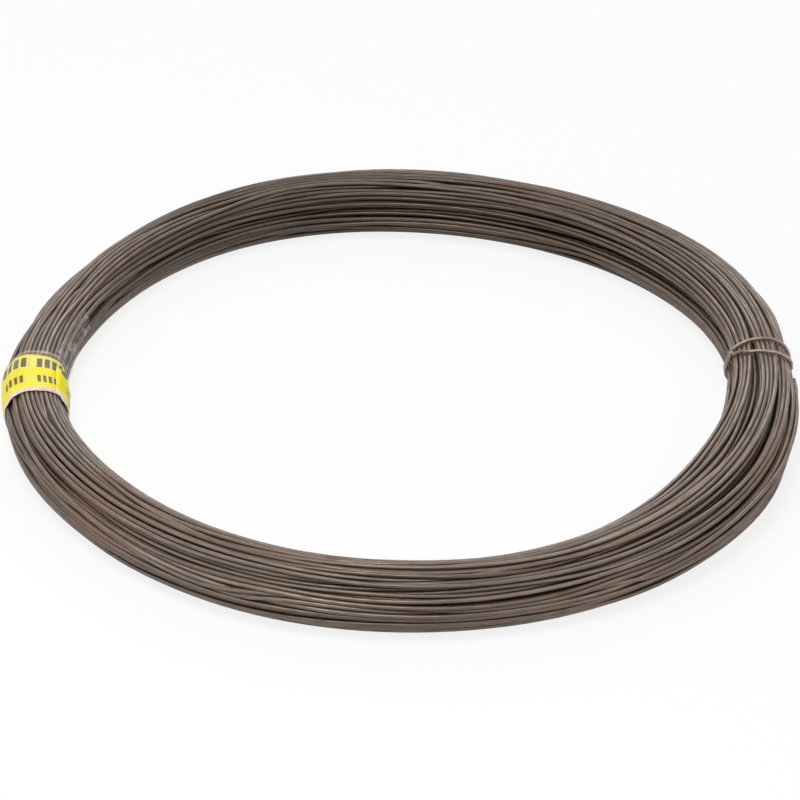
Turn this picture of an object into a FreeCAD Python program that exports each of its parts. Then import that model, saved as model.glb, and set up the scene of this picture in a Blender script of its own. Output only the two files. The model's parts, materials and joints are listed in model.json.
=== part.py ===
"""Coil of annealed binding wire, lying flat, held by a wire tie and a printed label band.

Units are millimetres. The coil axis is Z, the floor is z = 0, the label is at -X and the tie
is just behind +X. One closed bundle is turned about Z. Its skin is scalloped, one scallop a turn.
"""
import FreeCAD, Part
import math
import os

os.makedirs("parts", exist_ok=True)

# ---------------------------------------------------------------- driving dimensions
wire_d = 1.25            # annealed wire
outer_d = 219.5          # outside of the coil
bore_d = 180.5           # eye of the coil
bundle_h = 18.0          # height of the bundle
bundle_corner_r = 6.5    # rounding of the bundle's four corners
turn_spacing = 1.215     # step between neighbouring turns on the skin

tie_wire_d = 0.9         # tie wire
tie_angle = 7.0          # middle of the tie, degrees round from +X
tie_loop_gap = 6.0       # distance between the tie's two loops, along the coil
tie_neck_depth = 0.95    # how far the tie squeezes the bundle
tie_neck_length = 13.0   # length of the squeezed stretch, along the coil
tie_twist_d = 1.6        # the two ends twisted together
tie_twist_overrun = 1.5  # twist past each loop, along the coil

label_angle = 186.0      # middle of the label, degrees round from +X
label_width = 18.5       # along the coil
label_thickness = 0.2
label_neck_depth = 0.9   # how far the label squeezes the bundle
label_neck_length = 24.0 # length of the squeezed stretch, along the coil
film_thickness = 0.1     # clear film over the label
film_margin = 1.8        # clear film past each edge of the label

# ---------------------------------------------------------------- derived sizes
outer_r = outer_d / 2
bore_r = bore_d / 2
wire_r = wire_d / 2
mean_r = (outer_r + bore_r) / 2

AXIS_BASE = FreeCAD.Vector(0, 0, 0)
AXIS_Z = FreeCAD.Vector(0, 0, 1)


def along(length):
    """The angle, in degrees, that this length of the bundle's middle circle covers."""
    return math.degrees(length / mean_r)


def at(x, z):
    return FreeCAD.Vector(x, 0, z)


def line(start, end):
    return Part.makeLine(start, end)


def arc(start, middle, end):
    return Part.Arc(start, middle, end).toShape()


def rounded_outline(inset):
    """The bundle's rounded outline, moved in by inset (out where it is negative)."""
    x0, x1 = bore_r + inset, outer_r - inset
    z0, z1 = inset, bundle_h - inset
    r = bundle_corner_r - inset
    diag = r * (1 - math.sqrt(0.5))
    return Part.Wire([
        line(at(x0 + r, z0), at(x1 - r, z0)),
        arc(at(x1 - r, z0), at(x1 - diag, z0 + diag), at(x1, z0 + r)),
        line(at(x1, z0 + r), at(x1, z1 - r)),
        arc(at(x1, z1 - r), at(x1 - diag, z1 - diag), at(x1 - r, z1)),
        line(at(x1 - r, z1), at(x0 + r, z1)),
        arc(at(x0 + r, z1), at(x0 + diag, z1 - diag), at(x0, z1 - r)),
        line(at(x0, z1 - r), at(x0, z0 + r)),
        arc(at(x0, z0 + r), at(x0 + diag, z0 + diag), at(x0 + r, z0)),
    ])


def sector(face, middle, span):
    """Turn a section face about Z over span degrees, centred on the angle middle."""
    solid = face.revolve(AXIS_BASE, AXIS_Z, span)
    solid.rotate(AXIS_BASE, AXIS_Z, middle - span / 2)
    return solid


def walk(legs):
    """Evenly spaced turn centres along legs of straight runs and corner bends."""
    total = sum(leg["length"] for leg in legs)
    count = math.ceil(total / turn_spacing)
    centres = []
    for i in range(count + 1):
        s = min(total * i / count, total)
        for leg in legs:
            if s <= leg["length"] or leg is legs[-1]:
                break
            s -= leg["length"]
        if "bend" in leg:
            cx, cz, start = leg["bend"]
            a = start + s / leg["radius"] * leg["turn"]
            centres.append((cx + leg["radius"] * math.cos(a), cz + leg["radius"] * math.sin(a),
                            math.cos(a), math.sin(a)))
        else:
            (x, z), (dx, dz), (nx, nz) = leg["from"], leg["way"], leg["out"]
            centres.append((x + dx * s, z + dz * s, nx, nz))
    return centres


def scallops(centres, start, end):
    """Wire-sized arcs bulging outwards at each turn centre, joined at the creases between turns."""
    joints = [start]
    for (x0, z0, nx0, nz0), (x1, z1, nx1, nz1) in zip(centres, centres[1:]):
        mx, mz = (x0 + x1) / 2, (z0 + z1) / 2
        half = math.hypot(x1 - x0, z1 - z0) / 2
        rise = math.sqrt(wire_r ** 2 - half ** 2)
        ux, uz = (x1 - x0) / (2 * half), (z1 - z0) / (2 * half)
        if (-uz) * (nx0 + nx1) + ux * (nz0 + nz1) > 0:
            joints.append(at(mx - uz * rise, mz + ux * rise))
        else:
            joints.append(at(mx + uz * rise, mz - ux * rise))
    joints.append(end)
    edges = []
    for (x, z, nx, nz), a, b in zip(centres, joints, joints[1:]):
        centre = at(x, z)
        half_way = (a - centre).normalize() + (b - centre).normalize()
        edges.append(arc(a, centre + half_way.normalize() * wire_r, b))
    return edges


def turns_outline():
    """The bundle's section: a flat foot, a plain inner wall, and a scallop for each turn elsewhere."""
    x0, x1, z1 = bore_r, outer_r, bundle_h
    c = bundle_corner_r
    r = c - wire_r
    bend = {"radius": r, "length": r * math.pi / 2, "turn": -1}
    over = [
        dict(bend, bend=(x0 + c, z1 - c, math.pi)),
        {"length": x1 - x0 - 2 * c, "from": (x0 + c, z1 - wire_r), "way": (1, 0), "out": (0, 1)},
        dict(bend, bend=(x1 - c, z1 - c, math.pi / 2)),
        {"length": z1 - 2 * c, "from": (x1 - wire_r, z1 - c), "way": (0, -1), "out": (1, 0)},
        dict(bend, bend=(x1 - c, c, 0.0)),
    ]
    under = [dict(bend, bend=(x0 + c, c, -math.pi / 2))]
    foot_out, foot_in = at(x1 - c, 0), at(x0 + c, 0)
    wall_low, wall_high = at(x0, c), at(x0, z1 - c)
    edges = scallops(walk(over), wall_high, foot_out)
    edges.append(line(foot_out, foot_in))
    edges += scallops(walk(under), foot_in, wall_low)
    edges.append(line(wall_low, wall_high))
    return Part.Wire(edges)


# ---------------------------------------------------------------- the coil
full_section = Part.Face(turns_outline())
tie_neck = along(tie_neck_length)
label_neck = along(label_neck_length)
back_start, back_end = tie_angle + tie_neck / 2, label_angle - label_neck / 2
front_start, front_end = label_angle + label_neck / 2, 360 + tie_angle - tie_neck / 2

back = sector(full_section, (back_start + back_end) / 2, back_end - back_start)
front = sector(full_section, (front_start + front_end) / 2, front_end - front_start)
neck_at_tie = sector(Part.Face(rounded_outline(tie_neck_depth)), tie_angle, tie_neck)
neck_at_label = sector(Part.Face(rounded_outline(label_neck_depth)), label_angle, label_neck)
wire_coil = back.fuse([neck_at_tie, front, neck_at_label])


# ---------------------------------------------------------------- the tie
def tie_loop(angle):
    path = rounded_outline(tie_neck_depth - tie_wire_d / 2)
    start = at(mean_r, tie_neck_depth - tie_wire_d / 2)
    ring = Part.Wire([Part.makeCircle(tie_wire_d / 2, start, FreeCAD.Vector(1, 0, 0))])
    first = line(start, at(outer_r - bundle_corner_r, start.z))
    last = line(at(bore_r + bundle_corner_r, start.z), start)
    spine = Part.Wire([first] + path.Edges[1:] + [last])
    loop = spine.makePipeShell([ring], True, False)
    loop.rotate(AXIS_BASE, AXIS_Z, angle)
    return loop


twist_reach = bundle_corner_r - tie_neck_depth + tie_twist_d / 2
twist_centre = at(outer_r - bundle_corner_r + twist_reach * math.sqrt(0.5),
                  bundle_corner_r - twist_reach * math.sqrt(0.5))
twist_ring = Part.Face(Part.Wire([
    Part.makeCircle(tie_twist_d / 2, twist_centre, FreeCAD.Vector(0, 1, 0))]))
twist = sector(twist_ring, tie_angle, along(tie_loop_gap + 2 * tie_twist_overrun))
loop_offset = along(tie_loop_gap) / 2
tie_wire = tie_loop(tie_angle - loop_offset).fuse([tie_loop(tie_angle + loop_offset), twist])


# ---------------------------------------------------------------- label and clear film
def sleeve(inset_out, inset_in, span):
    """A closed band round the bundle, between two insets of its outline."""
    ring = Part.Face(rounded_outline(inset_out)).cut(Part.Face(rounded_outline(inset_in)))
    return sector(ring.Faces[0], label_angle, span)


label_top = label_neck_depth - label_thickness
label_band = sleeve(label_top, label_neck_depth, along(label_width))
film_span = along(label_width + 2 * film_margin)
clear_film = sleeve(label_top - film_thickness, label_neck_depth, film_span).cut(label_band)

# ---------------------------------------------------------------- export
pieces = {
    "wire_coil": wire_coil,
    "tie_wire": tie_wire,
    "label_band": label_band,
    "clear_film": clear_film,
}
for name, shape in pieces.items():
    solid = shape.Solids[0]
    box = solid.BoundBox
    print(name, "solids", len(shape.Solids), "valid", solid.isValid(), "faces", len(solid.Faces),
          "volume", round(solid.Volume, 1), "x", round(box.XMin, 2), round(box.XMax, 2),
          "y", round(box.YMin, 2), round(box.YMax, 2), "z", round(box.ZMin, 2), round(box.ZMax, 2))
    solid.exportStep("parts/" + name + ".step")
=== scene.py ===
"""Looks for the coil of annealed wire: its turns, tie, label and clear film.

Lengths in the bundle's sections are in millimetres and become metres when a mesh is made.
A section of the bundle is a (radius, height) plane, and lean is an angle in that plane:
0 points away from the coil's axis and 90 points up. Angles round the coil start at +X.
"""

import json
import math

import bpy
import numpy as np
from mathutils import Matrix, Vector


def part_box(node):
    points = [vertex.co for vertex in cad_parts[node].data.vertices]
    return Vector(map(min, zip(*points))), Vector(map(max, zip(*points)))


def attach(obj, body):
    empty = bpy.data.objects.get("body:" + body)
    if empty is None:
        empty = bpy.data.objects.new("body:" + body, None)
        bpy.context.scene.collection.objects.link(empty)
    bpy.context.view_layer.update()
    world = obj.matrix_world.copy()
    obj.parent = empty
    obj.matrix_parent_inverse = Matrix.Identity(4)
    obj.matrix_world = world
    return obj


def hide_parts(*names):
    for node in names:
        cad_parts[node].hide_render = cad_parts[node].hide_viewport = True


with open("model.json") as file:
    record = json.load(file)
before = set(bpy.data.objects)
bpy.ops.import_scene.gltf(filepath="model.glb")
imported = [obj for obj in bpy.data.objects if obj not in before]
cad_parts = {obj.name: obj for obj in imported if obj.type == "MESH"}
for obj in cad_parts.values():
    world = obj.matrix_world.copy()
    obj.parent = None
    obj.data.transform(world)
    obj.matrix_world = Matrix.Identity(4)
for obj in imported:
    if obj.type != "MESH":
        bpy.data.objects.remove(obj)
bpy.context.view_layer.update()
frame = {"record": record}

MM = 0.001
SEED = 7

# ---------------------------------------------------------------- sizes from the frame, in mm
coil_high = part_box("wire_coil")[1]
eye = next(mount for mount in frame["record"]["mounts"] if mount["name"] == "eye")
EYE_R = eye["dims"]["r_mm"]
OUTER_R = coil_high.y / MM
MEAN_R = (OUTER_R + EYE_R) / 2
BUNDLE_H = coil_high.z / MM

LABEL_ANGLE = 186.0
LABEL_WIDTH = 18.5
LABEL_THICKNESS = 0.2
FILM_MARGIN = 1.8
FILM_THICKNESS = 0.1

# ---------------------------------------------------------------- the wire
WIRE_D = 1.25
WIRE_R = WIRE_D / 2
TURNS = 126
SLICES = 144            # sections round the coil at which each turn has a point
TUBE_SIDES = 8
TURNS_PER_PIECE = 63
SECTION_POWER = 2.3     # how square the bundle's section is; 2 is an ellipse

# Angle, then middle radius less the coil's own, half width and half height of the bundle, in mm.
BUNDLE = [
    (-18, -2.2, 11.4, 8.9), (-8, -1.7, 10.3, 8.9), (-2, -1.2, 9.8, 8.8), (4, -0.8, 8.9, 8.4),
    (8, -0.4, 8.4, 8.1), (12, 0.3, 8.7, 8.4), (20, 1.7, 10.1, 8.9), (35, 2.0, 10.8, 8.9),
    (50, 0.9, 10.5, 8.9), (60, 0.1, 10.4, 8.9), (80, -0.3, 10.5, 8.9), (100, 0.5, 9.7, 8.9),
    (110, 1.2, 8.7, 8.8), (120, 1.0, 8.0, 8.7), (130, 0.1, 7.2, 8.6), (140, -0.9, 6.7, 8.4),
    (150, -1.7, 6.6, 8.5), (160, -1.4, 7.1, 8.6), (172, -0.1, 7.9, 8.4), (180, 0.5, 8.7, 8.3),
    (185, 1.1, 8.7, 8.3), (190, 1.2, 8.0, 8.4), (195, 0.8, 8.6, 8.6), (202, 0.7, 9.1, 8.8),
    (220, 0.1, 8.9, 8.9), (240, 0.7, 9.6, 8.9), (250, 0.9, 9.9, 8.9), (270, 0.7, 9.45, 8.9),
    (285, 1.4, 9.1, 8.9), (300, 1.5, 10.3, 8.9), (315, 0.1, 12.0, 8.8), (330, -1.5, 13.7, 8.7),
    (342, -2.2, 13.2, 8.8),
]

# Open gaps between turns: first and last angle, lean at each end, half width in mm.
GAPS = [
    (-30, 14, 95, 107, 1.5), (-100, -64, 22, 18, 0.25), (-122, -60, -28, -22, 0.5),
    (72, 114, 128, 118, 0.35), (80, 132, 168, 160, 0.4), (30, 66, 66, 74, 0.2),
]
GAP_DEPTH = 2.0
GAP_PUSH = 0.3          # share of its way out of a gap that a turn moves in a round

# The wire's free end: angle, radius and height along its last stretch, in mm.
FREE_END = [(-200, 101.8, 16.3), (-188, 104.0, 15.8), (-170, 106.6, 14.8), (-155, 107.8, 13.6),
            (-140, 108.2, 12.4), (-120, 109.3, 10.9), (-100, 109.9, 9.6), (-84, 110.1, 9.0),
            (-62, 110.9, 9.4), (-50, 111.3, 10.7), (-40, 111.2, 12.0), (-31, 110.9, 12.7),
            (-22, 110.4, 12.4), (-12, 109.5, 11.4), (-4, 108.6, 10.2), (4, 108.3, 9.5)]
TIP_SLICES = 2              # points of the free end past the last turn
TIP_ANGLES = (2.6, 2.75)    # where the free end's last full ring is, and its end face
TIP_SHARE = 0.6             # width of the end face, as a share of the wire's

# How the wire starts: laid in rows, wandering so far, as a share of the bundle, over so many turns.
START_ROWS = 11
WANDER = [(0.10, 0.11), (0.16, 0.5)]
GOLDEN = 3 - math.sqrt(5)   # the golden angle, as a share of half a turn
BLUR_REACH = 4              # slices to each side over which the bundle's sizes are blurred

# How the turns settle: in each round they are pushed apart, smoothed and put back in the bundle.
ROUNDS = 420
SEARCH_EVERY = 12           # rounds between searches for neighbours
NEIGHBOURS = 14
START_THICKNESS = 0.35      # share of the wire's thickness that counts in the first round
GROWN_BY = 0.7              # share of the rounds after which all of it counts
APART = 0.55                # share of an overlap that is undone in a round
EVENING = 0.35              # share of a bend's unevenness that is undone in a round
STRAIGHTENING = 0.05        # share of a bend that is undone in a round
INTO_BUNDLE = 0.5           # share of the way back into the bundle in a round
ONTO_PATH = 0.5             # share of the way onto the free end's path in a round
TINY = 1e-6                 # keeps every distance above zero


def round_the_coil(stations):
    """Columns of a table of stations, read at each slice and blurred a little."""
    angle = stations[:, 0]
    wrapped = np.concatenate([angle - 360, angle, angle + 360])
    at = np.arange(SLICES) * 360 / SLICES
    blur = np.exp(-0.5 * np.arange(-BLUR_REACH, BLUR_REACH + 1) ** 2)
    blur /= blur.sum()
    columns = []
    for column in stations.T[1:]:
        value = np.interp(at, wrapped, np.tile(column, 3))
        value = np.concatenate([value[-BLUR_REACH:], value, value[:BLUR_REACH]])
        columns.append(np.convolve(value, blur, "valid"))
    return columns


def drift(rng, count, reach):
    """Two smooth random curves of unit spread that change over about reach points."""
    noise = rng.standard_normal((count + 1, 2))
    keep = np.exp(-2 * (np.pi * np.fft.rfftfreq(count + 1) * reach) ** 2)
    curve = np.fft.irfft(np.fft.rfft(noise, axis=0) * keep[:, None], count + 1, axis=0)
    return (curve / curve.std(0))[:count]


def wound_start(rng):
    """Where each point of the wire starts, in a unit disc: turns laid in rows, wandering a little."""
    i = np.arange(TURNS) + 0.5
    radius = np.sqrt(i / TURNS)
    turn = i * math.pi * GOLDEN
    spot = np.stack([radius * np.cos(turn), radius * np.sin(turn)], 1)
    row = np.floor((spot[:, 1] + 1) / 2 * START_ROWS).astype(int)
    spot = spot[np.lexsort((np.where(row % 2 == 0, spot[:, 0], -spot[:, 0]), row))]
    count = TURNS * SLICES
    along = np.arange(count) / SLICES
    this = np.floor(along).astype(int)
    after = np.minimum(this + 1, TURNS - 1)
    share = (along - this)[:, None]
    share = share * share * (3 - 2 * share)
    laid = spot[this] * (1 - share) + spot[after] * share
    laid += sum(far * drift(rng, count, turns * SLICES) for far, turns in WANDER)
    return laid / np.maximum(1, np.linalg.norm(laid, axis=1))[:, None]


def neighbours(points, how_many):
    """For each point of the wire, the nearest points of other turns in its own slice."""
    by_slice = points.reshape(TURNS, SLICES, 2).transpose(1, 0, 2)
    gap = ((by_slice[:, :, None] - by_slice[:, None]) ** 2).sum(-1)
    own = np.arange(TURNS)
    gap[:, own, own] = np.inf
    near = np.argpartition(gap, how_many, axis=2)[:, :, :how_many].transpose(1, 0, 2)
    return (near * SLICES + np.arange(SLICES)[None, :, None]).reshape(-1, how_many)


def gap_wedges(middle, half_w, half_h):
    """For each gap, the points of each pass of the wire and the gap's middle, way out and half width."""
    wedges = []
    for first, last, lean_first, lean_last, width in GAPS:
        slices = np.arange(math.ceil(first * SLICES / 360), math.floor(last * SLICES / 360) + 1)
        share = (slices * 360 / SLICES - first) / (last - first)
        lean = np.radians(lean_first + (lean_last - lean_first) * share)
        at = slices % SLICES
        way = np.stack([np.cos(lean), np.sin(lean)], 1)
        edge = (np.abs(way / np.stack([half_w, half_h], 1)[at]) ** SECTION_POWER).sum(1)
        reach = edge ** (-1 / SECTION_POWER)
        centre = np.stack([middle[at], np.full(len(at), BUNDLE_H / 2)], 1)
        spot = centre + way * (reach - GAP_DEPTH / 2)[:, None]
        passes = np.arange(int(first < 0), TURNS + int(last < 0))[:, None] * SLICES + slices
        wedges.append((passes, spot, way, (width + WIRE_R) * np.sin(math.pi * share)))
    return wedges


def open_gaps(p, wedges):
    """Pushes each pass of the wire to one side of the gaps."""
    for passes, spot, way, width in wedges:
        off = p[passes] - spot
        deep = (off * way).sum(-1) / (GAP_DEPTH + WIRE_R)
        side = off[..., 1] * way[:, 0] - off[..., 0] * way[:, 1]
        room = width * np.sqrt(np.maximum(0, 1 - deep ** 2))
        bank = np.where(side.mean(1, keepdims=True) > 0, 1, -1)
        push = GAP_PUSH * np.maximum(0, room - side * bank) * bank
        p[passes] += push[..., None] * np.stack([-way[:, 1], way[:, 0]], -1)


def free_end(first, last):
    """Places along the free end at whole slices, counted from the end of the last turn."""
    angle, radius, height = np.array(FREE_END, float).T
    at = np.arange(first, last) * 360 / SLICES
    return np.stack([np.interp(at, angle, radius), np.interp(at, angle, height)], 1)


def wound_wire():
    """The wire's points, turn after turn, as (radius, height): smooth turns packed in the bundle."""
    rng = np.random.default_rng(SEED)
    shift, half_w, half_h = round_the_coil(np.array(BUNDLE, float))
    middle = MEAN_R + shift
    wedges = gap_wedges(middle, half_w, half_h)
    slice_of = np.arange(TURNS * SLICES) % SLICES
    centre = np.stack([middle, np.full(SLICES, BUNDLE_H / 2)], 1)[slice_of].astype(np.float32)
    reach = np.stack([half_w - WIRE_R, half_h - WIRE_R], 1)[slice_of].astype(np.float32)
    p = (centre + wound_start(rng) * reach).astype(np.float32)
    end_first = math.ceil(FREE_END[0][0] * SLICES / 360)
    end_places = free_end(end_first, 0)
    for step in range(ROUNDS):
        if step % SEARCH_EVERY == 0:
            near = neighbours(p, NEIGHBOURS)
        grown = min(1, step / (GROWN_BY * ROUNDS))
        thickness = WIRE_D * (START_THICKNESS + (1 - START_THICKNESS) * grown)
        apart = p[:, None] - p[near]
        distance = np.sqrt((apart ** 2).sum(-1)) + TINY
        half_overlap = np.maximum(0, thickness - distance) / distance * 0.5
        p += APART * (apart * half_overlap[..., None]).sum(1)
        line = np.concatenate([3 * p[:1] - 2 * p[1:2], 2 * p[:1] - p[1:2], p,
                               2 * p[-1:] - p[-2:-1], 3 * p[-1:] - 2 * p[-2:-1]])
        before, after = line[1:-3], line[3:-1]
        even_bend = (4 * before + 4 * after - line[:-4] - line[4:]) / 6
        straight = (before + after) / 2
        p += EVENING * (even_bend - p) + STRAIGHTENING * (straight - p)
        open_gaps(p, wedges)
        out = (np.abs((p - centre) / reach) ** SECTION_POWER).sum(1) ** (1 / SECTION_POWER)
        back = np.where(out > 1, 1 - INTO_BUNDLE + INTO_BUNDLE / np.maximum(out, 1), 1)
        p = centre + (p - centre) * back[:, None]
        p[:, 1] = np.maximum(p[:, 1], WIRE_R)
        p[end_first:] += ONTO_PATH * (end_places - p[end_first:])
    return np.concatenate([p, free_end(0, TIP_SLICES)]).astype(float)


def on_coil(radius, height, angle):
    """Points in metres from a radius and height in mm and an angle round the coil."""
    return np.stack([radius * np.cos(angle), radius * np.sin(angle), height], -1) * MM


def new_piece(name, vertices, faces, node, material):
    mesh = bpy.data.meshes.new(name)
    mesh.from_pydata(vertices.tolist(), [], faces)
    mesh.materials.append(material)
    mesh.shade_smooth()
    piece = bpy.data.objects.new(name, mesh)
    bpy.context.scene.collection.objects.link(piece)
    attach(piece, "root")
    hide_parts(node)
    return piece


def add_vectors(piece, name, values):
    """Stores a vector on each vertex for the materials to read."""
    store = piece.data.attributes.new(name, "FLOAT_VECTOR", "POINT")
    store.data.foreach_set("vector", np.asarray(values, np.float32).ravel())


def tube_faces(rings, sides):
    """Faces of a tube of rings, with a cap on each end."""
    a = np.arange(rings - 1)[:, None] * sides + np.arange(sides)
    b = np.arange(rings - 1)[:, None] * sides + (np.arange(sides) + 1) % sides
    faces = np.stack([a, b, b + sides, a + sides], -1).reshape(-1, 4).tolist()
    last = (rings - 1) * sides
    return faces + [list(range(sides))[::-1], list(range(last, last + sides))]


def wire_piece(name, wire, first_turn, last_turn, material):
    """One stretch of the wire as a tube, with an image map that lays each turn out as a strip."""
    first, last = first_turn * SLICES, last_turn * SLICES
    if last_turn == TURNS:
        last += TIP_SLICES - 1
    k = np.arange(first, last + 1)
    side = np.arange(TUBE_SIDES) * 2 * math.pi / TUBE_SIDES
    thick = np.full((len(k), 1), WIRE_R)
    angle = (k * 2 * math.pi / SLICES)[:, None] + 0 * side
    if last_turn == TURNS:
        k = np.append(k, [len(wire) - 1] * 2)
        thick = np.append(thick, [[WIRE_R], [WIRE_R * TIP_SHARE]], 0)
        angle = np.append(angle, np.radians(TIP_ANGLES)[:, None] + 0 * side, 0)
    radius = wire[k, 0][:, None] + thick * np.cos(side)
    height = wire[k, 1][:, None] + thick * np.sin(side)
    vertices = on_coil(radius, height, angle).reshape(-1, 3)
    faces = tube_faces(len(k), TUBE_SIDES)
    piece = new_piece(name, vertices, faces, "wire_coil", material)
    along = (k * 2 * math.pi * MEAN_R / SLICES)[:, None] + 0 * side
    across = WIRE_R * np.cos(side) + 0 * along
    upright = WIRE_R * np.sin(side) + 0 * along
    add_vectors(piece, "straight", np.stack([along, across, upright], -1))
    strips = math.ceil((len(k) - 1) / SLICES)
    turn, slot = np.divmod(k[:-1] - first, SLICES)
    u0 = np.repeat(slot / SLICES, TUBE_SIDES)
    v0 = (turn[:, None] + np.arange(TUBE_SIDES) / TUBE_SIDES).ravel() / strips
    u1 = u0 + 1 / SLICES
    v1 = v0 + 1 / TUBE_SIDES / strips
    corners = np.stack([u0, v0, u0, v1, u1, v1, u1, v0], -1).ravel()
    caps = np.tile([u0[0], v0[0]], 2 * TUBE_SIDES)
    corners = np.concatenate([corners, caps]).astype(np.float32)
    piece.data.uv_layers.new(name="OFBake").uv.foreach_set("vector", corners)


# ---------------------------------------------------------------- what goes tightly round the bundle
def section_at(wire, degrees):
    """The wire's places in the bundle's section at this angle round the coil."""
    s = degrees * SLICES / 360
    k = np.clip(np.arange(TURNS) * SLICES + math.floor(s), 0, len(wire) - 2)
    share = s - math.floor(s)
    return wire[k] * (1 - share) + wire[k + 1] * share


SLACK_TOP = 0.25            # how far the label stands off the top of the turns, in mm
SLACK_INNER = 0.70          # how much further at the inner side, and at the outer side
SLACK_OUTER = 0.35


def slack(lean):
    """How far the loose label stands off the turns: most at the inner side, none underneath."""
    side = SLACK_INNER if math.cos(lean) < 0 else SLACK_OUTER
    upward = 0.5 + 0.5 * math.sin(lean)
    return (SLACK_TOP + side * math.cos(lean) ** 2) * upward ** 0.5


def tight(section, lean, clear):
    """The point of a tight band round the section where it faces lean, clear of the turns."""
    way = np.array([math.cos(lean), math.sin(lean)])
    return section[np.argmax(section @ way)] + (WIRE_R + clear) * way


def evened(points, count, closed):
    """The same line through a number of evenly spaced points."""
    if closed:
        points = np.concatenate([points, points[:1]])
    run = np.concatenate([[0], np.cumsum(np.linalg.norm(np.diff(points, axis=0), axis=1))])
    at = np.linspace(0, run[-1], count + 1 if closed else count)
    even = np.stack([np.interp(at, run, column) for column in points.T], 1)
    return even[:-1] if closed else even


def round_tube(name, path, radius, sides, node, material):
    """A round tube along a path in metres, its ring turned as little as possible."""
    path = np.asarray(path)
    heading = np.gradient(path, axis=0)
    heading /= np.linalg.norm(heading, axis=1)[:, None]
    side = np.cross(heading[0], (0, 0, 1))
    side /= np.linalg.norm(side)
    turn = np.arange(sides) * 2 * math.pi / sides
    vertices, straight, run = [], [], 0.0
    for i, (spot, way) in enumerate(zip(path, heading)):
        side = side - way * (side @ way)
        side /= np.linalg.norm(side)
        over = np.cross(way, side)
        ring = np.cos(turn)[:, None] * side + np.sin(turn)[:, None] * over
        vertices.append(spot + radius * ring)
        if i:
            run += np.linalg.norm(spot - path[i - 1]) / MM
        ring_flat = [np.full(sides, run), np.cos(turn) * radius / MM, np.sin(turn) * radius / MM]
        straight.append(np.stack(ring_flat, 1))
    faces = tube_faces(len(path), sides)
    piece = new_piece(name, np.concatenate(vertices), faces, node, material)
    add_vectors(piece, "straight", np.concatenate(straight))


TIE_R = 0.45
TIE_SIDES = 10
TIE_STEPS = 300             # points along the two loops
TIE_POINTS = 400            # points along the loops and both ends
TIE_EASE = 9                # points to each side over which the loops' angles are evened
TWIST_LEAN = -48            # where the twisted ends lie on the bundle
TWIST_START = 1.2           # from the loops to the twist, in mm along the coil
TWIST_PITCH = 2.6           # in mm along the coil
TWIST_TURNS = 4
TWIST_STEPS = 8             # points in one turn of the twist

# Lean of the tie wire in its two loops, and the angle round the coil at which it lies there.
TIE_LOOPS = [
    (-48, 8.8), (-10, 8.0), (20, 7.7), (48, 7.7), (75, 7.9), (100, 7.5), (130, 7.4), (160, 8.0),
    (190, 8.5), (230, 8.7), (270, 8.9), (312, 8.8), (350, 6.8), (380, 5.0), (402, 4.2), (428, 3.8),
    (455, 3.7), (485, 4.8), (512, 7.0), (540, 7.8), (590, 8.2), (630, 8.7), (672, 8.6),
]


def tie_path(wire):
    """The tie wire: a twisted end, two loops round the bundle and back along the other end."""
    lean, degrees = np.array(TIE_LOOPS, float).T
    leans = np.linspace(lean[0], lean[-1], TIE_STEPS)
    angles = np.interp(leans, lean, degrees)
    window = 2 * TIE_EASE + 1
    angles = np.convolve(np.pad(angles, TIE_EASE, "edge"), np.ones(window) / window, "valid")
    loops = []
    for a, b in zip(leans, angles):
        radius, height = tight(section_at(wire, b), math.radians(a), TIE_R)
        loops.append(on_coil(radius, height, math.radians(b)))
    loops = evened(np.array(loops), TIE_STEPS, False)
    twist = []
    for i in range(TWIST_TURNS * TWIST_STEPS + 1):
        run = i / TWIST_STEPS * TWIST_PITCH
        b = TIE_LOOPS[0][1] + math.degrees((run + TWIST_START) / MEAN_R)
        radius, height = tight(section_at(wire, b), math.radians(TWIST_LEAN), 2 * TIE_R)
        twist.append((radius, height, math.radians(b), 2 * math.pi * i / TWIST_STEPS))
    radius, height, angle, turn = np.array(twist).T
    ends = []
    for phase in (0, math.pi):
        aside = TIE_R * np.cos(turn + phase)
        upward = TIE_R * np.sin(turn + phase)
        ends.append(on_coil(radius + aside, height + upward, angle))
    return evened(np.concatenate([ends[0][::-1], loops, ends[1]]), TIE_POINTS, False)


LEAN_STEP = 2               # degrees between the places where a band's section is read


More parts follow.
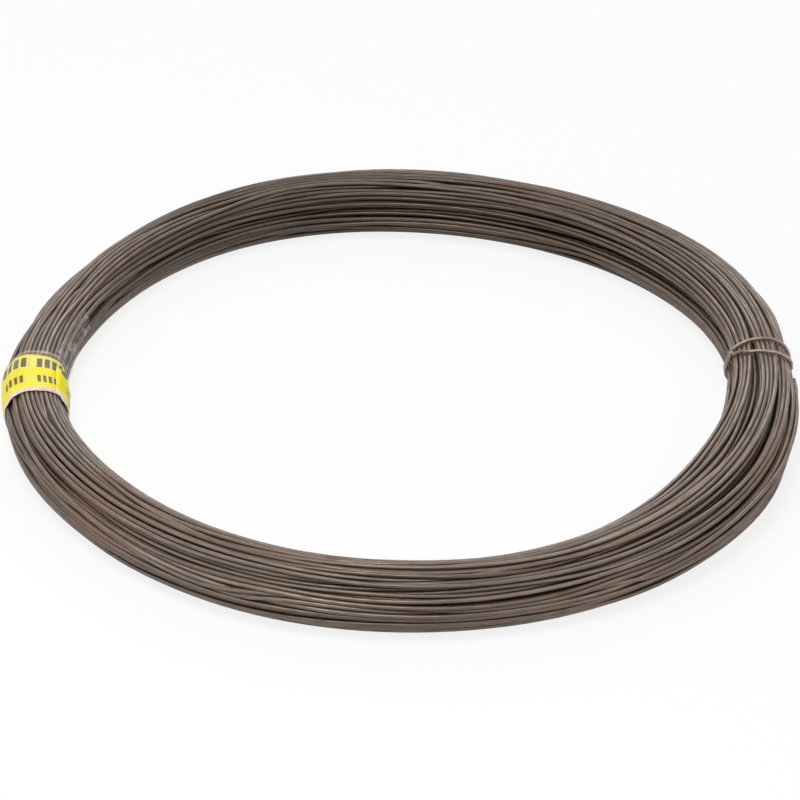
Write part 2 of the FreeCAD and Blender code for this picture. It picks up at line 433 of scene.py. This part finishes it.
def band(name, rows, around, node, material):
    """A closed thin band round the bundle, one ring of points for each row across it.

    A row has its angle round the coil as a function of lean, its section, how far its inner and
    outer sides stand off (a least and a share of slack), and its place across the band in mm.
    The band stores, for each point, its run round from the top in mm, its place across and its side.
    """
    leans = np.radians(np.arange(-90, 270, LEAN_STEP))
    rings = {True: [], False: []}
    flat = {True: [], False: []}
    for angle_at, section, inner, outer, across in rows:
        for is_outer, clear in ((True, outer), (False, inner)):
            least, loose = clear
            line = [tight(section, lean, least + loose * slack(lean)) for lean in leans]
            line = evened(np.array(line), around, True)
            line = (np.roll(line, 1, 0) + 2 * line + np.roll(line, -1, 0)) / 4
            lean_here = np.unwrap(np.arctan2(line[:, 1] - BUNDLE_H / 2, line[:, 0] - MEAN_R))
            angle = np.radians(angle_at(lean_here))
            rings[is_outer].append(on_coil(line[:, 0], line[:, 1], angle))
            run = (lean_here - math.pi / 2) * BUNDLE_H / 2
            flat[is_outer].append(np.stack([run, 0 * run + across, 0 * run + is_outer], 1))
    count = len(rows)
    vertices = np.concatenate(rings[True] + rings[False])
    faces = []
    for i in range(count - 1):
        for j in range(around):
            k = (j + 1) % around
            quad = [i * around + j, i * around + k, (i + 1) * around + k, (i + 1) * around + j]
            faces.append(quad)
            faces.append([n + count * around for n in quad[::-1]])
    inside, last = count * around, (count - 1) * around
    for j in range(around):
        k = (j + 1) % around
        faces.append([k, j, inside + j, inside + k])
        faces.append([last + j, last + k, inside + last + k, inside + last + j])
    piece = new_piece(name, vertices, faces, node, material)
    add_vectors(piece, "flat", np.concatenate(flat[True] + flat[False]))


LABEL_SKEW = 0.9            # degrees round the coil that the label's outer side sits back
BRIDGED = 1.5               # degrees to each side over which the label bridges the turns
BRIDGED_LESS = 1.2          # how much less that is at its edges
LEAST_LIFT = 0.05           # between the turns and what lies on them, in mm
EDGE_TIGHTNESS = 0.85       # share of the slack that is taken up at the label's edges
AIR = 0.03                  # between one sheet and the next, in mm
OVER_LABEL = LABEL_THICKNESS + AIR                  # lift of the film
OVER_FILM = OVER_LABEL + FILM_THICKNESS + AIR       # lift of the label's overlapping end
AROUND = 140                # points round a band
LABEL_ROWS = 15
FILM_ROWS = 9
FILM_SPAN = (0.04, 0.985)   # the film's first and last rows on the label, as shares of its width

# The film past the label's far edge: its rows, as shares of the margin, how wide the margin is at
# the outer side and how much wider at the inner one, as shares of FILM_MARGIN, and the ripples of
# its edge: their height in degrees, how many there are round the bundle and where they start.
MARGIN_STEPS = (1.0, 0.66, 0.33, 0.08)
MARGIN_OUTER = 0.8
MARGIN_INNER_MORE = 1.1
MARGIN_RIPPLES = [(0.12, 5, 0), (0.08, 11, 1)]


def across_label(share):
    """The angle round the coil at a share of the label's width, 0 at its far edge."""
    return LABEL_ANGLE + math.degrees((share - 0.5) * LABEL_WIDTH / MEAN_R)


def skewed(lean):
    """How far round the coil, in degrees, the label and film sit back on the outer side."""
    return -LABEL_SKEW * np.maximum(0, np.cos(lean))


def at_edges(share):
    """1 at both edges of the label, falling quickly to 0 in its middle."""
    return abs(2 * share - 1) ** 3


def label_section(wire, share, degrees):
    """The turns near this row of the label, which a paper band bridges together, less at its edges."""
    reach = BRIDGED - BRIDGED_LESS * at_edges(share)
    return np.concatenate([section_at(wire, degrees + reach * d) for d in (-1, -0.5, 0, 0.5, 1)])


def off_turns(share, lift):
    """How far a row stands off the turns: its least, and its share of slack, less at the edges."""
    return np.array([LEAST_LIFT + lift, 1 - EDGE_TIGHTNESS * at_edges(share)])


def label_row(wire, share, lift, thickness):
    """A row of a sheet wrapped over the label's place, at a share of the label's width."""
    at = across_label(share)
    return (lambda lean: at + skewed(lean), label_section(wire, share, at),
            off_turns(share, lift), off_turns(share, lift + thickness), share * LABEL_WIDTH)


def margin_row(wire, step):
    """A row of film past the label's far edge, reaching further along the bundle's inner side."""
    margin = math.degrees(FILM_MARGIN / MEAN_R)

    def angle_at(lean):
        inner = (1 - np.cos(lean)) / 2
        width = margin * (MARGIN_OUTER + MARGIN_INNER_MORE * inner ** 2)
        ripple = sum(high * np.sin(count * lean + start) for high, count, start in MARGIN_RIPPLES)
        past = step * (width + ripple)
        return across_label(0) + skewed(lean) - past

    lift = OVER_LABEL * (1 - step) ** 0.5
    return (angle_at, label_section(wire, 0, across_label(0) - step * margin),
            off_turns(0, lift), off_turns(0, lift + FILM_THICKNESS), -step * FILM_MARGIN)


def label_piece(wire, material):
    rows = [label_row(wire, share, 0, LABEL_THICKNESS) for share in np.linspace(0, 1, LABEL_ROWS)]
    band("label_paper", rows, AROUND, "label_band", material)


def film_piece(wire, material):
    """Clear film over the label and past its far edge."""
    rows = [margin_row(wire, step) for step in MARGIN_STEPS]
    for share in np.linspace(*FILM_SPAN, FILM_ROWS):
        rows.append(label_row(wire, share, OVER_LABEL, FILM_THICKNESS))
    band("film_over_label", rows, AROUND, "clear_film", material)


def patch(name, wire, place, lift, thickness, crumple, node, material):
    """A thin sheet with four edges over the turns; place gives lean and angle at shares of it.

    Crumple is how far each point stands off further, in mm: steps along the sheet by rows across it.
    """
    steps, rows = crumple.shape
    top, bottom, flat = [], [], []
    for i in range(steps):
        for j in range(rows):
            lean, degrees = place(i / (steps - 1), j / (rows - 1))
            run = math.radians(place(0, 0)[0] - lean) * BUNDLE_H / 2
            across = math.radians(degrees - across_label(0)) * MEAN_R
            flat.append([run, across, 1])
            share = min(1, max(0, across / LABEL_WIDTH))
            section = label_section(wire, share, degrees)
            lean = math.radians(lean)
            least, loose = off_turns(share, lift + crumple[i, j])
            if across < 0:
                loose = 0
            for sheet, extra in ((bottom, 0), (top, thickness)):
                radius, height = tight(section, lean, least + extra + loose * slack(lean))
                sheet.append(on_coil(radius, height, math.radians(degrees)))
    count = steps * rows
    faces = []
    for i in range(steps - 1):
        for j in range(rows - 1):
            a = i * rows + j
            quad = [a, a + 1, a + 1 + rows, a + rows]
            faces.append([n + count for n in quad[::-1]])
            faces.append(quad)
    rim = list(range(rows))
    rim += [i * rows + rows - 1 for i in range(1, steps)]
    rim += [(steps - 1) * rows + j for j in range(rows - 2, -1, -1)]
    rim += [i * rows for i in range(steps - 2, 0, -1)]
    for a, b in zip(rim, rim[1:] + rim[:1]):
        faces.append([b, a, a + count, b + count])
    piece = new_piece(name, np.array(bottom + top), faces, node, material)
    add_vectors(piece, "flat", flat + flat)


def between(ends, share):
    return ends[0] + (ends[1] - ends[0]) * share


TAIL_ANGLES = (178.5, 163.5)    # angle round the coil, at the tail's root and its tip
TAIL_UPPER_EDGE = (128, 148)    # lean of its edges there
TAIL_LOWER_EDGE = (196, 176)
TAIL_POINTS = (26, 14)
TAIL_CRUMPLE = 0.35             # most that it stands off further, in mm

OVERLAP_LEANS = (128, 188)      # lean at the overlapping end's upper and lower edges
OVERLAP_ANGLES = (183.5, 191.2) # angle round the coil at its far and near edges
OVERLAP_BULGE = 1.5             # degrees that the near edge bulges
OVERLAP_BULGE_RATE = 1.15       # how soon the bulge ends; at 1 it ends at the lower edge
OVERLAP_POINTS = (12, 16)


def tail_place(along, across):
    """The film's loose tail runs from the label along the upper inner side of the bundle."""
    lean = between((between(TAIL_UPPER_EDGE, along), between(TAIL_LOWER_EDGE, along)), across)
    return lean, between(TAIL_ANGLES, along)


def overlap_place(along, across):
    """The label's overlapping end lies on the inner side, its near edge bulging past the label's."""
    lean = between(OVERLAP_LEANS, across)
    far_edge, near_edge = OVERLAP_ANGLES
    near_edge += OVERLAP_BULGE * math.sin(math.pi * min(1, across * OVERLAP_BULGE_RATE))
    return lean, between((far_edge, near_edge), 1 - along)


# ---------------------------------------------------------------- materials
class Nodes:
    """A material's node tree, with short calls for the nodes used here."""

    def __init__(self, name):
        self.material = bpy.data.materials.new(name)
        self.material.use_nodes = True
        self.tree = self.material.node_tree
        self.shader = self.tree.nodes["Principled BSDF"]

    def link(self, out, into):
        self.tree.links.new(out, into)

    def attribute(self, name):
        node = self.tree.nodes.new("ShaderNodeAttribute")
        node.attribute_name = name
        return node.outputs["Vector"]

    def place(self):
        return self.tree.nodes.new("ShaderNodeTexCoord").outputs["Object"]

    def noise(self, vector, scale, detail=2.0, offset=(0, 0, 0)):
        """Smooth noise from about 0 to 1 over a vector stretched by scale along each axis."""
        mapping = self.tree.nodes.new("ShaderNodeMapping")
        mapping.inputs["Scale"].default_value = scale
        mapping.inputs["Location"].default_value = offset
        self.link(vector, mapping.inputs["Vector"])
        node = self.tree.nodes.new("ShaderNodeTexNoise")
        node.inputs["Scale"].default_value = 1.0
        node.inputs["Detail"].default_value = detail
        self.link(mapping.outputs["Vector"], node.inputs["Vector"])
        return node.outputs["Fac"]

    def ramp(self, value, stops):
        node = self.tree.nodes.new("ShaderNodeValToRGB")
        elements = node.color_ramp.elements
        for element, (position, colour) in zip(elements, (stops[0], stops[-1])):
            element.position = position
            element.color = (*colour, 1)
        for position, colour in stops[1:-1]:
            elements.new(position).color = (*colour, 1)
        self.link(value, node.inputs["Fac"])
        return node.outputs["Color"]

    def span(self, value, low, high, to_low=0.0, to_high=1.0):
        node = self.tree.nodes.new("ShaderNodeMapRange")
        node.inputs["From Min"].default_value = low
        node.inputs["From Max"].default_value = high
        node.inputs["To Min"].default_value = to_low
        node.inputs["To Max"].default_value = to_high
        self.link(value, node.inputs["Value"])
        return node.outputs["Result"]

    def math(self, operation, a, b):
        node = self.tree.nodes.new("ShaderNodeMath")
        node.operation = operation
        for socket, value in zip(node.inputs, (a, b)):
            if isinstance(value, (int, float)):
                socket.default_value = value
            else:
                self.link(value, socket)
        return node.outputs["Value"]

    def mix(self, share, a, b, blend="MIX"):
        node = self.tree.nodes.new("ShaderNodeMix")
        node.data_type = "RGBA"
        node.blend_type = blend
        sockets = [node.inputs[0], node.inputs[6], node.inputs[7]]
        for socket, value in zip(sockets, (share, a, b)):
            if isinstance(value, tuple):
                socket.default_value = (*value, 1)
            elif isinstance(value, (int, float)):
                socket.default_value = value
            else:
                self.link(value, socket)
        return node.outputs[2]

    def bump(self, height, strength, distance):
        node = self.tree.nodes.new("ShaderNodeBump")
        node.inputs["Strength"].default_value = strength
        node.inputs["Distance"].default_value = distance
        self.link(height, node.inputs["Height"])
        self.link(node.outputs["Normal"], self.shader.inputs["Normal"])

    def apart(self, vector):
        node = self.tree.nodes.new("ShaderNodeSeparateXYZ")
        self.link(vector, node.inputs["Vector"])
        return node.outputs["X"], node.outputs["Y"], node.outputs["Z"]


SPOT_CORE = 0.3             # share of a spot's reach within which it is at its full strength


def near_spot(n, spot, reach):
    """1 close to a spot given in metres, falling to 0 at the reach."""
    node = n.tree.nodes.new("ShaderNodeVectorMath")
    node.operation = "DISTANCE"
    n.link(n.place(), node.inputs[0])
    node.inputs[1].default_value = spot
    return n.span(node.outputs["Value"], reach * SPOT_CORE, reach, 1.0, 0.0)


# Painted shade on the back bundle and low on the front one: place and reach in metres, then how dark.
PAINTED_SHADE_STRETCHES = [((0.005, 0.104, 0.006), 0.130, 0.70), ((0.0, -0.098, -0.002), 0.060, 0.34)]
# Rusted places: place and reach in metres.
RUST_SPOTS = [((0.105, 0.011, 0.013), 0.015), ((0.099, -0.047, 0.011), 0.016),
              ((-0.078, -0.072, 0.012), 0.022), ((0.040, 0.101, 0.012), 0.020)]


# Tones and tints along the wire, each with its place on a scale of noise.
SCALE_TONES = [(0.28, (0.072, 0.046, 0.030)), (0.42, (0.130, 0.092, 0.068)),
               (0.56, (0.185, 0.140, 0.112)), (0.70, (0.290, 0.238, 0.205))]
SCALE_TINTS = [(0.34, (1.12, 0.98, 0.86)), (0.50, (1.0, 1.0, 1.0)), (0.66, (0.90, 1.0, 1.04))]
FLAKE_COLOUR = (0.058, 0.040, 0.029)
DRAW_LINE_COLOUR = (0.34, 0.29, 0.255)
# The colour of the painted shade on the back bundle and low on the front one.
PAINTED_SHADE_COLOUR = (0.036, 0.021, 0.011)
RUST_COLOUR = (0.190, 0.095, 0.062)
FLAKE_SHARE = 0.35          # how much the flakes, the draw lines and the rust cover what is under them
DRAW_LINE_SHARE = 0.4
RUST_ANYWHERE = 0.3
RUST_AT_SPOTS = 0.6
SCALE_METALLIC = 0.5
WIRE_BUMP = 0.00006         # depth of flakes and draw lines, in metres

# How often each look changes in a millimetre along the wire, across it and up it.
TONE_CHANGES = (0.0045, 0, 0)
TINT_CHANGES = (0.006, 0, 0)
FLAKE_CHANGES = (0.22, 1.1, 1.1)
DRAW_LINE_CHANGES = (0.05, 5.0, 5.0)
RUST_CHANGES = (0.09, 0.7, 0.7)


def wire_material():
    """Annealing scale on drawn wire: tones that change slowly along it, flakes, draw lines, some rust,
    and painted shade on the back bundle and low on the front one.
    """
    n = Nodes("annealed_wire")
    straight = n.attribute("straight")
    tone = n.noise(straight, TONE_CHANGES, 1.0)
    base = n.ramp(tone, SCALE_TONES)
    tint = n.noise(straight, TINT_CHANGES, 1.0, (300, 40, 0))
    base = n.mix(1.0, base, n.ramp(tint, SCALE_TINTS), "MULTIPLY")
    flake = n.noise(straight, FLAKE_CHANGES, 3.0)
    flakes = n.span(flake, 0.46, 0.60)
    base = n.mix(n.math("MULTIPLY", flakes, FLAKE_SHARE), base, FLAKE_COLOUR)
    streak = n.noise(straight, DRAW_LINE_CHANGES, 2.0, (0, 9, 4))
    base = n.mix(n.span(streak, 0.50, 0.72, 0.0, DRAW_LINE_SHARE), base, DRAW_LINE_COLOUR)
    # Painted shade: the wire is darker round the back bundle and low on the front one, where they lie in
    # shade.
    for spot, reach, depth in PAINTED_SHADE_STRETCHES:
        base = n.mix(n.math("MULTIPLY", near_spot(n, spot, reach), depth), base, PAINTED_SHADE_COLOUR)
    blotch = n.noise(straight, RUST_CHANGES, 2.0, (50, 0, 7))
    rust = n.math("MULTIPLY", n.span(blotch, 0.60, 0.72), RUST_ANYWHERE)
    for spot, reach in RUST_SPOTS:
        here = n.math("MULTIPLY", near_spot(n, spot, reach), n.span(blotch, 0.40, 0.58))
        rust = n.math("MAXIMUM", rust, n.math("MULTIPLY", here, RUST_AT_SPOTS))
    base = n.mix(rust, base, RUST_COLOUR)
    n.link(base, n.shader.inputs["Base Color"])
    n.link(n.span(rust, 0.0, RUST_AT_SPOTS, SCALE_METALLIC, 0.0), n.shader.inputs["Metallic"])
    rough = n.math("ADD", n.span(flake, 0.40, 0.62, 0.33, 0.46), n.math("MULTIPLY", rust, 0.3))
    n.link(rough, n.shader.inputs["Roughness"])
    n.bump(n.math("ADD", n.math("MULTIPLY", streak, 0.6), flake), 0.5, WIRE_BUMP)
    return n.material


TIE_TONES = [(0.32, (0.18, 0.125, 0.100)), (0.50, (0.34, 0.26, 0.215)),
             (0.68, (0.46, 0.38, 0.33))]
TIE_RUST_COLOUR = (0.21, 0.105, 0.055)
TIE_METALLIC = 0.5
TIE_BUMP = 0.00004
TIE_TONE_CHANGES = (0.06, 0, 0)
TIE_RUST_CHANGES = (0.3, 1.2, 1.2)


def tie_material():
    """Thinner annealed wire, a little lighter and pinker, with rust in patches."""
    n = Nodes("annealed_tie_wire")
    straight = n.attribute("straight")
    tone = n.noise(straight, TIE_TONE_CHANGES, 2.0)
    base = n.ramp(tone, TIE_TONES)
    patches = n.noise(straight, TIE_RUST_CHANGES, 3.0, (20, 0, 0))
    rust = n.span(patches, 0.54, 0.66, 0.0, 0.5)
    base = n.mix(rust, base, TIE_RUST_COLOUR)
    n.link(base, n.shader.inputs["Base Color"])
    n.shader.inputs["Metallic"].default_value = TIE_METALLIC
    n.link(n.span(patches, 0.4, 0.65, 0.34, 0.6), n.shader.inputs["Roughness"])
    n.bump(patches, 0.4, TIE_BUMP)
    return n.material


# Rows of bars on the label: from and to across it, in mm, the bars' pitch along it and the share
# of the pitch that a bar fills, then the same for groups of bars.
LARGE_MARKS = {"low": 2.3, "high": 6.9, "pitch": 2.2, "fill": 0.68,
               "group_pitch": 13.2, "group_fill": 0.84}
SMALL_MARKS = {"low": 11.0, "high": 14.4, "pitch": 1.6, "fill": 0.60,
               "group_pitch": 9.6, "group_fill": 0.67}

# Across the label from its far edge, in mm: a worn edge, a pale zone, a vivid zone and a border.
WORN_EDGE_TO = 0.6
PALE_ZONE_TO = 7.0
VIVID_ZONE_FROM = 7.5
BORDER_FROM = 16.9
PALE_TONES = [(0.3, (0.80, 0.72, 0.12)), (0.7, (0.89, 0.82, 0.20))]
VIVID_TONES = [(0.3, (0.86, 0.72, 0.006)), (0.7, (0.93, 0.81, 0.014))]
BORDER_COLOUR = (0.84, 0.68, 0.50)
WORN_EDGE_COLOUR = (0.42, 0.27, 0.06)
INK_COLOUR = (0.040, 0.037, 0.022)
PAPER_BACK_COLOUR = (0.80, 0.76, 0.66)
LABEL_SPECULAR = 0.3
LABEL_BUMP = 0.00005
FIBRE_CHANGES = (1.1, 1.1, 1)       # in a millimetre round the label and across it


def repeated(n, run, pitch, fill):
    """1 over the first share of each pitch along the run, 0 over the rest of it."""
    return n.math("LESS_THAN", n.math("FRACT", n.math("DIVIDE", run, pitch), 0), fill)


def marks(n, run, across, style):
    """A row of plain upright bars in groups, where a printed label carries its words."""
    bar = repeated(n, run, style["pitch"], style["fill"])
    group = repeated(n, run, style["group_pitch"], style["group_fill"])
    inside = n.math("MULTIPLY", n.math("GREATER_THAN", across, style["low"]),
                    n.math("LESS_THAN", across, style["high"]))
    return n.math("MULTIPLY", n.math("MULTIPLY", bar, group), inside)


def label_material():
    """Printed paper: a pale zone and a vivid one with plain dark bars, a worn edge and a pale border."""
    n = Nodes("printed_label")
    run, across, side = n.apart(n.attribute("flat"))
    fibre = n.noise(n.attribute("flat"), FIBRE_CHANGES, 3.0)
    vivid = n.ramp(fibre, VIVID_TONES)
    pale = n.ramp(fibre, PALE_TONES)
    colour = n.mix(n.span(across, PALE_ZONE_TO, VIVID_ZONE_FROM), pale, vivid)
    colour = n.mix(n.math("GREATER_THAN", across, BORDER_FROM), colour, BORDER_COLOUR)
    colour = n.mix(n.math("LESS_THAN", across, WORN_EDGE_TO), colour, WORN_EDGE_COLOUR)
    ink = n.math("MAXIMUM", marks(n, run, across, LARGE_MARKS), marks(n, run, across, SMALL_MARKS))
    worn = n.math("MULTIPLY", ink, n.span(fibre, 0.30, 0.55, 0.80, 0.95))
    colour = n.mix(worn, colour, INK_COLOUR)
    paper = n.mix(side, PAPER_BACK_COLOUR, colour)
    n.link(paper, n.shader.inputs["Base Color"])
    n.shader.inputs["Specular IOR Level"].default_value = LABEL_SPECULAR
    n.link(n.span(fibre, 0.3, 0.7, 0.42, 0.58), n.shader.inputs["Roughness"])
    n.bump(fibre, 0.3, LABEL_BUMP)
    return n.material


FILM_TONES = [(0.35, (0.76, 0.66, 0.62)), (0.65, (0.95, 0.90, 0.88))]
FILM_CREASES = (420, 420, 420)      # creases in a metre
FILM_IOR = 1.5
FILM_BUMP = 0.0003


def film_material(name, least_haze, most_haze, margin_haze):
    """Clear film: glossy, slightly milky, with fine creases; milkier past the label's far edge."""
    n = Nodes(name)
    across = n.apart(n.attribute("flat"))[1]
    crease = n.noise(n.place(), FILM_CREASES, 3.0)
    n.link(n.ramp(crease, FILM_TONES), n.shader.inputs["Base Color"])
    haze = n.math("MAXIMUM", n.span(crease, 0.50, 0.70, least_haze, most_haze),
                  n.span(across, -FILM_MARGIN / 2, 0.0, margin_haze, 0.0))
    n.link(haze, n.shader.inputs["Alpha"])
    n.shader.inputs["IOR"].default_value = FILM_IOR
    n.link(n.span(crease, 0.3, 0.7, 0.08, 0.22), n.shader.inputs["Roughness"])
    n.bump(crease, 0.5, FILM_BUMP)
    return n.material


wire = wound_wire()
wire_look = wire_material()
wire_piece("wire_first_turns", wire, 0, TURNS_PER_PIECE, wire_look)
wire_piece("wire_last_turns", wire, TURNS_PER_PIECE, TURNS, wire_look)
round_tube("tie_wound_twice", tie_path(wire), TIE_R * MM, TIE_SIDES, "tie_wire", tie_material())
label_look = label_material()
label_piece(wire, label_look)
patch("label_overlapping_end", wire, overlap_place, OVER_FILM, LABEL_THICKNESS,
      np.zeros(OVERLAP_POINTS), "label_band", label_look)
film_piece(wire, film_material("clear_film", least_haze=0.01, most_haze=0.10, margin_haze=0.20))
crumpled_look = film_material("crumpled_film", least_haze=0.06, most_haze=0.26, margin_haze=0.0)
tail_crumple = np.random.default_rng(SEED + 1).uniform(0, TAIL_CRUMPLE, TAIL_POINTS)
patch("film_tail", wire, tail_place, 0, FILM_THICKNESS, tail_crumple,
      "clear_film", crumpled_look)

# ---------------------------------------------------------------- floor, light and camera
PHOTO_ELEVATION = math.radians(32.85)
PHOTO_ROLL = math.radians(1.0)
CAMERA_DISTANCE = 1.2
COIL_SPAN_IN_VIEW = 0.2204      # metres across the picture at the coil
AIM_LEFT = 0.0005               # metres from the coil's middle to what the camera aims at
AIM_BELOW = 0.0043
SENSOR_WIDTH = 36               # in mm

# Lamps: name, place and width in metres, power in watts.
LAMPS = [
    ("key", (-0.15, -0.45, 0.9), 0.5, 6.2),
    ("left", (-1.0, -0.4, 0.55), 0.8, 2.2),
    ("fill", (0.9, -0.9, 0.9), 0.9, 3),
    ("back", (0.0, 1.1, 0.95), 1.0, 6),
]
WORLD_LIGHT = 0.25
FLOOR_HALF = 3.0                # half the floor's width, in metres
FLOOR_COLOUR = (0.90, 0.90, 0.90, 1)
FLOOR_SHADOW = 0.16             # share of the floor's own shade, and so of the shadow, that is seen
WHITE = (1, 1, 1, 1)


def area_light(name, place, size, power):
    data = bpy.data.lights.new(name, "AREA")
    data.shape = "DISK"
    data.size = size
    data.energy = power
    lamp = bpy.data.objects.new(name, data)
    lamp.location = place
    lamp.rotation_euler = (-Vector(place)).to_track_quat("-Z", "Y").to_euler()
    bpy.context.scene.collection.objects.link(lamp)


def seen_directly(tree):
    """1 for camera, glossy and transmission rays, which show the plain white background."""
    path = tree.nodes.new("ShaderNodeLightPath")
    seen = path.outputs["Is Camera Ray"]
    for name in ("Is Glossy Ray", "Is Transmission Ray"):
        either = tree.nodes.new("ShaderNodeMath")
        either.operation = "MAXIMUM"
        tree.links.new(seen, either.inputs[0])
        tree.links.new(path.outputs[name], either.inputs[1])
        seen = either.outputs["Value"]
    return seen


def make_world():
    world = bpy.data.worlds.new("studio")
    bpy.context.scene.world = world
    world.use_nodes = True
    tree = world.node_tree
    lit = tree.nodes["Background"]
    lit.inputs["Color"].default_value = WHITE
    lit.inputs["Strength"].default_value = WORLD_LIGHT
    shown = tree.nodes.new("ShaderNodeBackground")
    shown.inputs["Color"].default_value = WHITE
    shown.inputs["Strength"].default_value = 1.0
    mix = tree.nodes.new("ShaderNodeMixShader")
    tree.links.new(seen_directly(tree), mix.inputs["Fac"])
    tree.links.new(lit.outputs["Background"], mix.inputs[1])
    tree.links.new(shown.outputs["Background"], mix.inputs[2])
    tree.links.new(mix.outputs["Shader"], tree.nodes["World Output"].inputs["Surface"])


def make_floor():
    mesh = bpy.data.meshes.new("floor")
    sides = ((-1, -1), (1, -1), (1, 1), (-1, 1))
    corners = [(x * FLOOR_HALF, y * FLOOR_HALF, 0) for x, y in sides]
    mesh.from_pydata(corners, [], [(0, 1, 2, 3)])
    material = bpy.data.materials.new("floor")
    material.use_nodes = True
    tree = material.node_tree
    shader = tree.nodes["Principled BSDF"]
    shader.inputs["Base Color"].default_value = FLOOR_COLOUR
    shader.inputs["Roughness"].default_value = 0.9
    shader.inputs["Specular IOR Level"].default_value = 0.0
    white = tree.nodes.new("ShaderNodeEmission")
    white.inputs["Color"].default_value = WHITE
    white.inputs["Strength"].default_value = 1.0
    mix = tree.nodes.new("ShaderNodeMixShader")
    share = tree.nodes.new("ShaderNodeMath")
    share.operation = "MULTIPLY"
    share.inputs[1].default_value = 1 - FLOOR_SHADOW
    tree.links.new(seen_directly(tree), share.inputs[0])
    tree.links.new(share.outputs["Value"], mix.inputs["Fac"])
    tree.links.new(shader.outputs["BSDF"], mix.inputs[1])
    tree.links.new(white.outputs["Emission"], mix.inputs[2])
    tree.links.new(mix.outputs["Shader"], tree.nodes["Material Output"].inputs["Surface"])
    mesh.materials.append(material)
    floor = bpy.data.objects.new("floor", mesh)
    bpy.context.scene.collection.objects.link(floor)


def make_camera():
    forward = Vector((0, math.cos(PHOTO_ELEVATION), -math.sin(PHOTO_ELEVATION)))
    level = Vector((1, 0, 0))
    upright = level.cross(forward)
    right = level * math.cos(PHOTO_ROLL) + upright * math.sin(PHOTO_ROLL)
    up = upright * math.cos(PHOTO_ROLL) - level * math.sin(PHOTO_ROLL)
    coil_middle = Vector((0, 0, BUNDLE_H / 2 * MM))
    aim = coil_middle - right * AIM_LEFT - up * AIM_BELOW
    data = bpy.data.cameras.new("camera")
    data.sensor_width = SENSOR_WIDTH
    data.lens = SENSOR_WIDTH * CAMERA_DISTANCE / COIL_SPAN_IN_VIEW
    camera = bpy.data.objects.new("camera", data)
    turned = Matrix((right, up, -forward)).transposed().to_4x4()
    camera.matrix_world = Matrix.Translation(aim - forward * CAMERA_DISTANCE) @ turned
    bpy.context.scene.collection.objects.link(camera)
    bpy.context.scene.camera = camera


make_world()
make_floor()
for lamp in LAMPS:
    area_light(*lamp)
make_camera()
bpy.context.scene.view_settings.view_transform = "Standard"
